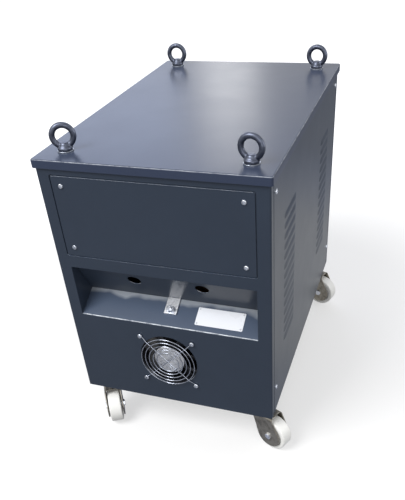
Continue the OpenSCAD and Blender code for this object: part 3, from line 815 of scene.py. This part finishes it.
def build_gland_plate():
    half, gap = MOUTH_HIGH[0], 2 * MM
    top = (GLAND_TOP - RISE) / math.cos(GLAND_LEAN) - gap
    holes = [circle(CABLE_R, 40, (side * CABLE_X, CABLE_S)) for side in (-1, 1)]
    outline = [(-half, 0), (half, 0), (half, top), (-half, top)]
    bm = bmesh.new()
    add_blank(bm, cut_blank(outline, holes), lambda u, v: GLAND @ Vector((u, 0, v)))
    make("gland_plate_sheet", bm, BODY_PAINT, replaces=["gland_plate"], sheet=RECESS_T,
         bevel=0.3 * MM)


def hexagon(across):
    """A nut's outline, from its width across the flats."""
    return circle(across / 2 / math.cos(math.pi / 6), 6)


def build_earth_bar():
    low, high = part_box("earth_bar")
    half = (high.x - low.x) / 2
    reach, thick, bolt_in, corner_r = 34 * MM, 3 * MM, 8 * MM, 1.2 * MM
    front = RECESS_LEN - reach
    outline = rounded_box((-half, front), (half, RECESS_LEN), corner_r, 3)
    bm = bmesh.new()
    add_prism(bm, outline, 0.0, thick, RECESS)
    make("earth_bar_strap", bm, TINNED, replaces=["earth_bar"], bevel=0.4 * MM)
    place = RECESS @ Matrix.Translation((0, front + bolt_in, thick))
    bm = bmesh.new()
    add_lathe(bm, scaled((8.0, 0), (8.4, 0.3), (8.4, 1.3), (8.0, 1.6)), 36, place)
    add_lathe(bm, scaled((6.6, 1.6), (6.9, 1.9), (6.9, 3.2), (6.6, 3.5)), 32, place)
    nut_low, nut_high, pitch = 3.5, 8.8, 0.8
    add_prism(bm, hexagon(13 * MM), nut_low * MM, nut_high * MM, place @ Matrix.Rotation(0.3, 4, "Z"))
    thread = []
    for z in (nut_high + i * pitch for i in range(5)):
        thread += [(3.9, z), (3.4, z + pitch / 2)]
    add_lathe(bm, scaled(*thread, (3.0, 13.2)), 20, place)
    make("earth_stud_and_nut", bm, ZINC, replaces=["earth_nut"], bevel=0.25 * MM)


def build_rating_plate():
    low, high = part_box("rating_plate")
    middle_x, half_w = (low.x + high.x) / 2, (high.x - low.x) / 2
    middle_s, half_s, thick, corner_r = 28 * MM, 18 * MM, 1 * MM, 2 * MM
    outline = rounded_box((middle_x - half_w, middle_s - half_s),
                          (middle_x + half_w, middle_s + half_s), corner_r)
    bm = bmesh.new()
    add_prism(bm, outline, 0.0, thick, RECESS)
    make("rating_plate_blank", bm, LABEL, replaces=["rating_plate"], bevel=0.25 * MM)
    bm = bmesh.new()
    inset = 3.6 * MM
    dome = [(1.7 * MM, 0), *raised(0.1 * MM, *arc(0, 84, 5, 1.6))]
    for spot in four_spots(half_w - inset, half_s - inset, (middle_x, middle_s)):
        add_lathe(bm, dome, 16, RECESS @ Matrix.Translation((*spot, thick)))
    make("rating_plate_rivets", bm, TINNED)


# ---- fan ----

def build_fan_frame():
    low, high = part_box("fan_frame")
    half = (high.x - low.x) / 2
    depth = high.y - low.y
    bore, wall, end = 57 * MM, 1.5 * MM, 0.2 * MM
    flange, corner_r, overlap = 6 * MM, 6 * MM, 0.8 * MM
    seat = circle(bore + overlap, 64)
    square = rounded_box((-half, -half), (half, half), corner_r)
    blank = cut_blank(square, [seat])
    place = upright(FAN_X, FAN_Z, low.y) @ Matrix.Rotation(math.pi, 4, "X")
    bm = bmesh.new()
    for z in (0.0, depth - flange):
        for level in (z, z + flange):
            add_blank(bm, blank, lambda u, v: place @ Vector((u, v, level)))
        for edge in (square, seat):
            add_grid(bm, [[place @ Vector((*p, level)) for p in edge] for level in (z, z + flange)],
                     closed_u=True)
    weld(bm)
    duct = [(bore, end), (bore, depth - end), (bore + wall, depth - end), (bore + wall, end)]
    add_lathe(bm, duct, 64, place, closed=True)
    strut = rounded_box((28 * MM, -3 * MM), (bore + 1 * MM, 3 * MM), 1 * MM, 2)
    for turn in (20, 140, 260):
        add_prism(bm, strut, 1.2 * MM, 5 * MM, place @ Matrix.Rotation(math.radians(turn), 4, "Z"))
    add_lathe(bm, scaled((28, 1), (30.2, 1.2), (31, 2), (31, 5)), 64, place)
    make("fan_housing", bm, FAN_BLACK, replaces=["fan_frame"], bevel=0.3 * MM)
    disc = scaled((0, -0.1), (12, -0.1), (24, 0), (28.6, 0.3), (30.4, 0.9), (30.8, 1.8), (30.2, 1.9))
    bm = bmesh.new()
    add_lathe(bm, disc, 64, place)
    weld(bm, 1e-5)
    make("fan_motor_disc", bm, DISC_METAL, sharp=60)


def build_fan_rotor():
    low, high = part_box("fan_rotor")
    hub_r, tip_r, root = 30 * MM, 55.5 * MM, 1 * MM
    blades, steps = 7, 8
    place = upright(FAN_X, FAN_Z, low.y) @ Matrix.Rotation(math.pi, 4, "X")
    depth = high.y - low.y
    bm = bmesh.new()
    hub = [(hub_r - root, 0), (hub_r, root), (hub_r, depth - 2 * MM), (hub_r - 2 * MM, depth)]
    add_lathe(bm, hub, 48, place)
    make("fan_hub", bm, FAN_BLACK, body="fan_rotor", replaces=["fan_rotor"], bevel=0.3 * MM)
    bm = bmesh.new()
    for turn in (math.tau * blade / blades for blade in range(blades)):
        rows = []
        for out in (i / steps for i in range(steps + 1)):
            reach = hub_r - root + (tip_r - hub_r + root) * out
            chord = math.radians(46 - 10 * out)
            row = []
            for part in (k / steps for k in range(steps + 1)):
                angle = turn + chord * (part - 0.5) + math.radians(7) * out
                level = (3 + (depth / MM - 6) * (part - 0.16 * math.sin(math.pi * part))) * MM
                row.append(place @ Vector((reach * math.cos(angle), reach * math.sin(angle), level)))
            rows.append(row)
        add_grid(bm, rows)
    make("fan_blades", bm, FAN_BLACK, body="fan_rotor", sheet=1.6 * MM, bevel=0.2 * MM)


def build_fan_guard():
    wire_r, eye, high = 0.9 * MM, 3.1 * MM, 3.9 * MM
    rings, outer_r, pitch = 5, 54.5 * MM, 8 * MM
    hole = FAN_HOLE * math.sqrt(2)
    place = upright(FAN_X, FAN_Z)
    bm = bmesh.new()
    for i in range(rings):
        ring = [place @ Vector((*p, high + 1.4 * wire_r)) for p in circle(outer_r - pitch * i, 96)]
        add_tube(bm, ring, wire_r, 12, closed=True)
    for turn in (45, 135):
        spin = place @ Matrix.Rotation(math.radians(turn), 4, "Z")
        half = [Vector((x * MM, 0, z * high)) for x, z in
                ((0.5, 1), (30, 1), (55, 1), (58, 0.95), (61, 0.76), (65, 0.46), (68, 0.26))]
        half += [Vector((hole + eye * math.cos(t), eye * math.sin(t), wire_r))
                 for t in [math.pi + math.tau * k / 20 for k in range(20)]]
        for flip in (0, math.pi):
            add_tube(bm, [spin @ Matrix.Rotation(flip, 4, "Z") @ p for p in half], wire_r, 10)
    make("fan_guard_wires", bm, CHROME, replaces=["fan_guard"], sharp=60)
    bm = bmesh.new()
    for spot in four_spots(FAN_HOLE, FAN_HOLE):
        add_pan_head(bm, place @ Matrix.Translation((*spot, 2 * wire_r)), 4.6 * MM, 3 * MM)
    weld(bm)
    make("fan_guard_screws", bm, ZINC)


# ---- eyebolts ----

def build_eyebolts():
    ring_r, wire_r, reach, washer_t = 17.5 * MM, 5 * MM, 23.5 * MM, 2 * MM
    collar = [(12.0, 0.0), (12.5, 0.6), (12.5, 4.6), (11.8, 5.6), (9.2, 8.0), (8.0, 11.0), (6.0, 13.0)]
    web = [(12.2, 4.5), (11.4, 6.5), (10.8, 9.0), (10.6, 12.5)]
    washer = [(5.6, 0.0), (5.6, 2.0), (13.2, 2.0), (13.5, 1.7), (13.5, 0.3), (13.2, 0.0)]
    for corner in CORNERS:
        name = "eyebolt_" + corner
        foot = Matrix.Translation((*EYES[corner], LID_HIGH.z))
        bm = bmesh.new()
        add_lathe(bm, scaled(*washer), 48, foot, closed=True)
        make("eye_washer_" + corner, bm, WASHER_ZINC, replaces=["washer_" + corner])
        place = foot @ Matrix.Translation((0, 0, washer_t)) @ Matrix.Rotation(EYE_TURN[corner], 4, "Z")
        bm = bmesh.new()
        ring = [place @ Vector((p.x, 0, reach + p.y)) for p in circle(ring_r, 48)]
        add_tube(bm, ring, wire_r, 20, closed=True)
        add_lathe(bm, scaled(*collar), 40, place)
        add_lathe(bm, scaled(*web), 40, place @ Matrix.Diagonal((1, 0.42, 1, 1)))
        piece = make(name + "_forging", bm, FORGED, replaces=[name], sharp=60)
        piece.modifiers.remove(piece.modifiers["even_shading"])
        forged = piece.modifiers.new("forged_in_one", "REMESH")
        forged.mode = "VOXEL"
        forged.voxel_size = 0.8 * MM
        forged.use_smooth_shade = True
        soft = piece.modifiers.new("fillets", "SMOOTH")
        soft.factor = 0.5
        soft.iterations = 7


# ---- casters ----

WHEEL_HALF = 13 * MM
FORK_Y = 15.5 * MM
FORK_T = 2 * MM
FORK_BEND = 5 * MM
LEG_R = 26 * MM
KINGPIN_R, AXLE_R = 4.9 * MM, 3.9 * MM
CROWN_REAR, CROWN_FRONT = -14 * MM, 34 * MM
PLATE_T = 3 * MM
RACE_H, RACE_GAP, SAUCER_H = 6 * MM, 0.3 * MM, 6 * MM
CROWN_Z = BODY_Z - PLATE_T - RACE_H - RACE_GAP - SAUCER_H


def caster_place(corner):
    """The fork's own frame: X towards the axle, Y along it, Z up from the floor."""
    swivel = Vector(JOINTS["swivel_" + corner]["pos_m"])
    across = Vector(JOINTS["roll_" + corner]["axis"])
    along = across.cross(Vector((0, 0, 1)))
    place = Matrix((along, across, (0, 0, 1))).transposed().to_4x4()
    place.translation = (swivel.x, swivel.y, 0)
    return place


def build_swivel_plate(corner, place):
    """Square plate with bolts, the upper cup of the bearing, and the riveted kingpin."""
    half, hole, hole_r, corner_r = 29 * MM, 20.5 * MM, 4 * MM, 5 * MM
    under = BODY_Z - PLATE_T
    corners = four_spots(hole, hole)
    bm = bmesh.new()
    add_blank(bm, cut_blank(rounded_box((-half, -half), (half, half), corner_r),
                            [circle(hole_r, 20, spot) for spot in corners]),
              lambda u, v: place @ Vector((u, v, BODY_Z)))
    make("mount_plate_" + corner, bm, ZINC, replaces=["plate_" + corner],
         sheet=PLATE_T, bevel=0.4 * MM)
    bm = bmesh.new()
    cup = raised(under, (22.6, 0), (23, -0.4), (23, -2.4))
    cup += arc(0, -90, 6, 3.6 * MM, (19.4 * MM, under - 2.4 * MM))
    add_lathe(bm, cup + raised(under, (12, -6), (12, 0)), 48, place)
    for i, spot in enumerate(corners):
        bolt = place @ Matrix.Translation((*spot, under)) @ Matrix.Rotation(math.pi, 4, "X")
        add_lathe(bm, scaled((5.8, 0), (5.8, 1.2)), 28, bolt)
        add_prism(bm, hexagon(10 * MM), 1.2 * MM, 4.6 * MM, bolt @ Matrix.Rotation(0.4 + 1.3 * i, 4, "Z"))
    kingpin = [(KINGPIN_R, under - RACE_H), (KINGPIN_R, CROWN_Z - FORK_T - RACE_GAP)]
    kingpin += raised(CROWN_Z - FORK_T, (8.8, -0.3), (8.8, -1.5), (7.2, -3.2))
    add_lathe(bm, kingpin, 32, place)
    make("mount_race_" + corner, bm, ZINC, bevel=0.25 * MM)


def leg_outline(rows, axle):
    """Half a fork's blank: from the crown's rear edge down, round the axle and up to its front edge.
    rows give (distance across the blank, height) at each crease of the bend."""
    def touch(point, side):
        away = point - axle
        return math.degrees(math.atan2(away.y, away.x) + side * math.acos(LEG_R / away.length))

    rear, front = Vector((CROWN_REAR, CROWN_Z)), Vector((CROWN_FRONT, CROWN_Z))
    first, last = touch(rear, 1), touch(front, -1) + 360
    round_axle = [Vector(p) for p in arc(first, last, 22, LEG_R, axle)]
    edges = []
    for crown, foot in ((rear, round_axle[0]), (front, round_axle[-1])):
        slope = (foot.x - crown.x) / (CROWN_Z - foot.y)
        edges.append([(u, crown.x + slope * (CROWN_Z - z)) for u, z in rows])
    flat_u, flat_z = rows[-1]
    below = [(flat_u + flat_z - p.y, p.x) for p in round_axle]
    return edges[0] + below + edges[1][::-1]


def build_fork(corner, place, upright_place, trail, axle_z):
    """Pressed fork: one blank, bent down into two broad legs, with the lower race and the axle."""
    steps = 6
    line = folded_line([(-FORK_Y, 0.0), (-FORK_Y, CROWN_Z), (FORK_Y, CROWN_Z), (FORK_Y, 0.0)],
                       [FORK_BEND, FORK_BEND], steps)
    runs = run_lengths(line)

    def fold(u, v):
        spot = along_line(line, runs, u)
        return place @ Vector((v, spot.x, spot.y))

    second_bend = range(steps + 2, 2 * steps + 3)
    half = leg_outline([(runs[k], line[k].y) for k in second_bend], Vector((trail, axle_z)))
    outline = half + [(-u, v) for u, v in reversed(half)]
    rear, front = -60 * MM, 80 * MM
    creases = [((u, rear), (u, front)) for u in runs[1:-1]]
    bm = bmesh.new()
    add_blank(bm, cut_blank(outline, (), creases), fold)
    make("fork_pressing_" + corner, bm, FORK_ZINC, body="fork_" + corner,
         replaces=["fork_" + corner], sheet=FORK_T, bevel=0.5 * MM)
    bm = bmesh.new()
    saucer = raised(CROWN_Z, (6, 5.9), (20.6, 5.9), (22.4, 5.5), (23, 4.7), (23, 3.4), (22.6, 2.6),
                    (20.3, 0.4), (19.9, -0.3), (6, -0.3))
    add_lathe(bm, saucer, 48, upright_place, closed=True)
    axle = place @ Matrix.Translation((trail, 0, axle_z)) @ Matrix.Rotation(-math.pi / 2, 4, "X")
    end = FORK_Y + 1 * MM
    add_lathe(bm, [(AXLE_R, -end), (AXLE_R, end)], 24, axle)
    for turn in (0.0, math.pi):
        spot = axle @ Matrix.Rotation(turn, 4, "X") @ Matrix.Translation((0, 0, FORK_Y))
        add_lathe(bm, scaled((7.4, 0), (7.4, 0.9)), 28, spot)
        add_prism(bm, hexagon(12.5 * MM), 0.9 * MM, 5.0 * MM, spot)
        add_lathe(bm, scaled((3.6, 5.0), (3.2, 5.2)), 20, spot)
    make("fork_race_and_axle_" + corner, bm, ZINC, body="fork_" + corner, bevel=0.25 * MM)
    return axle


def build_wheel(corner, axle, radius):
    """Nylon wheel with a dished web and a steel bush."""
    h = WHEEL_HALF / MM
    r = radius / MM
    half = [(9, h), (12.6, h), (13.5, h - 0.8), (14.6, h - 3.8), (16.5, h - 4.5), (24.5, h - 4.5),
            (26.2, h - 3.8), (27.4, h - 0.8), (28.2, h)]
    half += arc(90, 0, 6, 3, (r - 3, h - 3))
    half += [(r, 4)]
    profile = scaled(*half, *[(x, -y) for x, y in reversed(half)])
    bm = bmesh.new()
    add_lathe(bm, profile, 72, axle, closed=True)
    make("wheel_nylon_" + corner, bm, NYLON, body="wheel_" + corner,
         replaces=["wheel_" + corner], sharp=40)
    bm = bmesh.new()
    add_lathe(bm, scaled((4.3, -h), (8.9, -h), (8.9, h), (4.3, h)), 36, axle, closed=True)
    make("wheel_bush_" + corner, bm, ZINC, body="wheel_" + corner, bevel=0.2 * MM)


def build_caster(corner):
    place = caster_place(corner)
    swivel = JOINTS["swivel_" + corner]["pos_m"]
    roll = JOINTS["roll_" + corner]["pos_m"]
    upright_place = Matrix.Translation((swivel[0], swivel[1], 0))
    trail = math.hypot(roll[0] - swivel[0], roll[1] - swivel[1])
    build_swivel_plate(corner, upright_place)
    axle = build_fork(corner, place, upright_place, trail, roll[2])
    build_wheel(corner, axle, roll[2])


# ---- the whole cabinet ----

build_front_panel()
build_rear_panel()
build_access_panel()
build_covers()
build_lid()
build_screws()
build_recess_cheeks()
build_gland_plate()
build_earth_bar()
build_rating_plate()
build_fan_frame()
build_fan_rotor()
build_fan_guard()
build_eyebolts()
for corner in CORNERS:
    build_caster(corner)

for name, material in (("base_tray", BODY_PAINT), ("core", LAMINATION), ("windings", WINDING),
                       ("core_clamps", BODY_PAINT)):
    data = frame["nodes"][name].data
    data.materials.clear()
    data.materials.append(material)


# ---- floor, light and camera ----

def build_floor():
    bm = bmesh.new()
    bmesh.ops.create_grid(bm, x_segments=1, y_segments=1, size=30)
    mesh = bpy.data.meshes.new("floor")
    bm.to_mesh(mesh)
    bm.free()
    floor = put("floor", mesh)
    material, n, shader = new_material("pale_floor", Roughness=0.9, Specular_IOR_Level=0.0)
    rays = n.add("ShaderNodeLightPath").outputs
    n.join(n.mix(rays["Is Camera Ray"], (0.3, 0.3, 0.3, 1), (0.5, 0.5, 0.5, 1)),
           shader.inputs["Base Color"])
    mirrored = n.maths("MAXIMUM", rays["Is Glossy Ray"], rays["Is Transmission Ray"])
    place = n.add("ShaderNodeNewGeometry").outputs["Position"]
    seen = n.spread(n.distance(place, (0.0, 0.0, 0.0)), 0.6, 1.4, 0.53, 0.86)
    # Painted reflection: for glossy and transmission rays the floor glows near a spot behind the cabinet's right
    # side, fainter and bluer further off, so the right side shows a lighter lower part and a blue top.
    patch = n.distance(place, (0.5, 0.35, 0.0))
    side_reflection_glow = n.spread(patch, 0.3, 1.0, 0.42, 0.05)
    far_blue_reflection = n.times(mirrored, n.spread(patch, 0.4, 0.9))
    n.join(n.mix(far_blue_reflection, (1, 1, 1, 1), (0.42, 0.56, 1.0, 1)), shader.inputs["Emission Color"])
    glow = n.maths("ADD", n.times(rays["Is Camera Ray"], seen), n.times(mirrored, side_reflection_glow))
    n.join(glow, shader.inputs["Emission Strength"])
    mesh.materials.append(material)


def build_world():
    world = bpy.data.worlds.new("studio")
    bpy.context.scene.world = world
    world.use_nodes = True
    n = Nodes(world.node_tree)
    back = world.node_tree.nodes["Background"]
    back.inputs["Color"].default_value = (1, 1, 1, 1)
    rays = n.add("ShaderNodeLightPath").outputs
    seen = n.maths("MAXIMUM", rays["Is Camera Ray"], rays["Is Glossy Ray"])
    seen = n.maths("MAXIMUM", seen, rays["Is Transmission Ray"])
    n.join(n.spread(seen, 0.0, 1.0, 0.45, 1.0), back.inputs["Strength"])


def soft_box(name, place, target, width, height, watts, colour=(1, 1, 1)):
    light = bpy.data.lights.new(name, "AREA")
    light.shape = "RECTANGLE"
    light.size = width
    light.size_y = height
    light.energy = watts
    light.color = colour
    lamp = put(name, light)
    lamp.location = place
    lamp.rotation_euler = (Vector(target) - Vector(place)).to_track_quat("-Z", "Y").to_euler()


def build_camera():
    camera = bpy.data.cameras.new("camera")
    camera.lens = 43.4
    camera.sensor_width = 36
    camera.shift_x = -0.017
    camera.shift_y = 0.149
    turn, drop, roll = math.radians(21.41), math.radians(37.17), math.radians(4.70)
    view = Vector((-math.sin(turn) * math.cos(drop), math.cos(turn) * math.cos(drop), -math.sin(drop)))
    holder = put("camera", camera)
    holder.location = (0.401, -1.097, 0.958)
    level = view.to_track_quat("-Z", "Y").to_matrix()
    holder.rotation_euler = (Matrix.Rotation(roll, 3, view) @ level).to_euler()
    bpy.context.scene.camera = holder


build_floor()
build_world()
soft_box("key", (-1.2, -1.9, 2.9), (0, 0, 0.35), 1.7, 1.7, 90)
soft_box("window_strip", (-0.8, 2.6, 1.5), (0, 0, 0.65), 0.34, 0.9, 3.2)
soft_box("high_window", (-0.4, 3.2, 2.9), (0, 0, 0.65), 3.2, 1.1, 12, (0.56, 0.67, 1.0))
soft_box("left_window", (-2.3, 3.1, 2.0), (0, 0, 0.65), 1.9, 1.1, 13, (0.56, 0.68, 1.0))
soft_box("front_fill", (1.2, -2.4, 1.1), (0, 0, 0.3), 1.2, 1.2, 12)
soft_box("right_fill", (2.4, 0.6, 0.9), (0.2, 0.2, 0.1), 1.0, 1.0, 15)
build_camera()
bpy.context.scene.view_settings.view_transform = "Standard"
